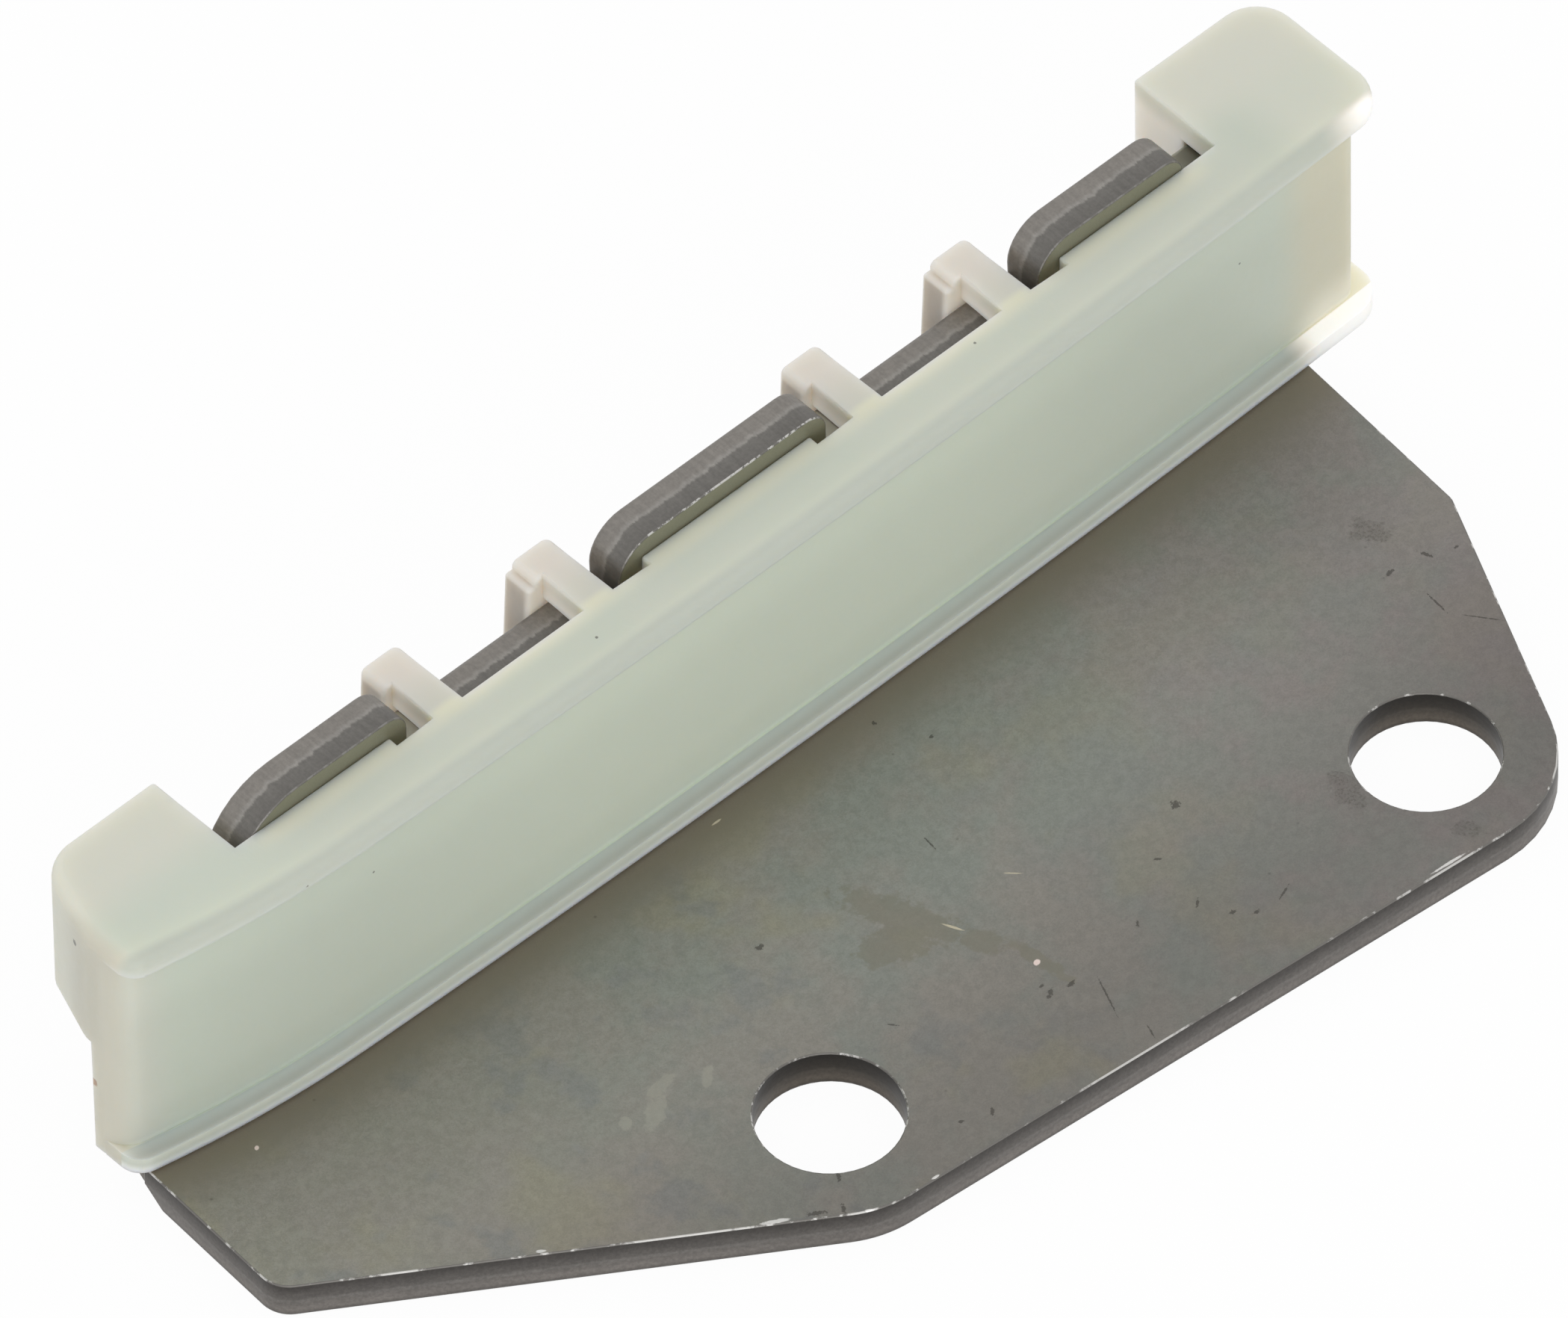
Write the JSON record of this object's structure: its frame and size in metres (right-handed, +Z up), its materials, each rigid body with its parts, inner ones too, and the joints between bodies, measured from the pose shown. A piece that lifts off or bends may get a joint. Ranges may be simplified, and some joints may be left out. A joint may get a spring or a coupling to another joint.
{
  "type": "timing chain guide",
  "caption": "Bent steel bracket with bolt holes, carrying a long nylon shoe whose lipped, gently convex channel guides a timing chain.",
  "frame": {"origin": "centre of the left bolt hole on the mounting face", "axes": "+X along the shoe, +Y toward the flange, +Z up from the mounting face"},
  "size_m": [0.0932, 0.0427, 0.0218],
  "materials": {
    "steel": "dull, lightly stained and scratched stamped steel",
    "nylon": "natural translucent nylon, satin"
  },
  "bodies": {
    "root": {"bracket": "steel", "guide_shoe": "nylon"}
  },
  "joints": []
}
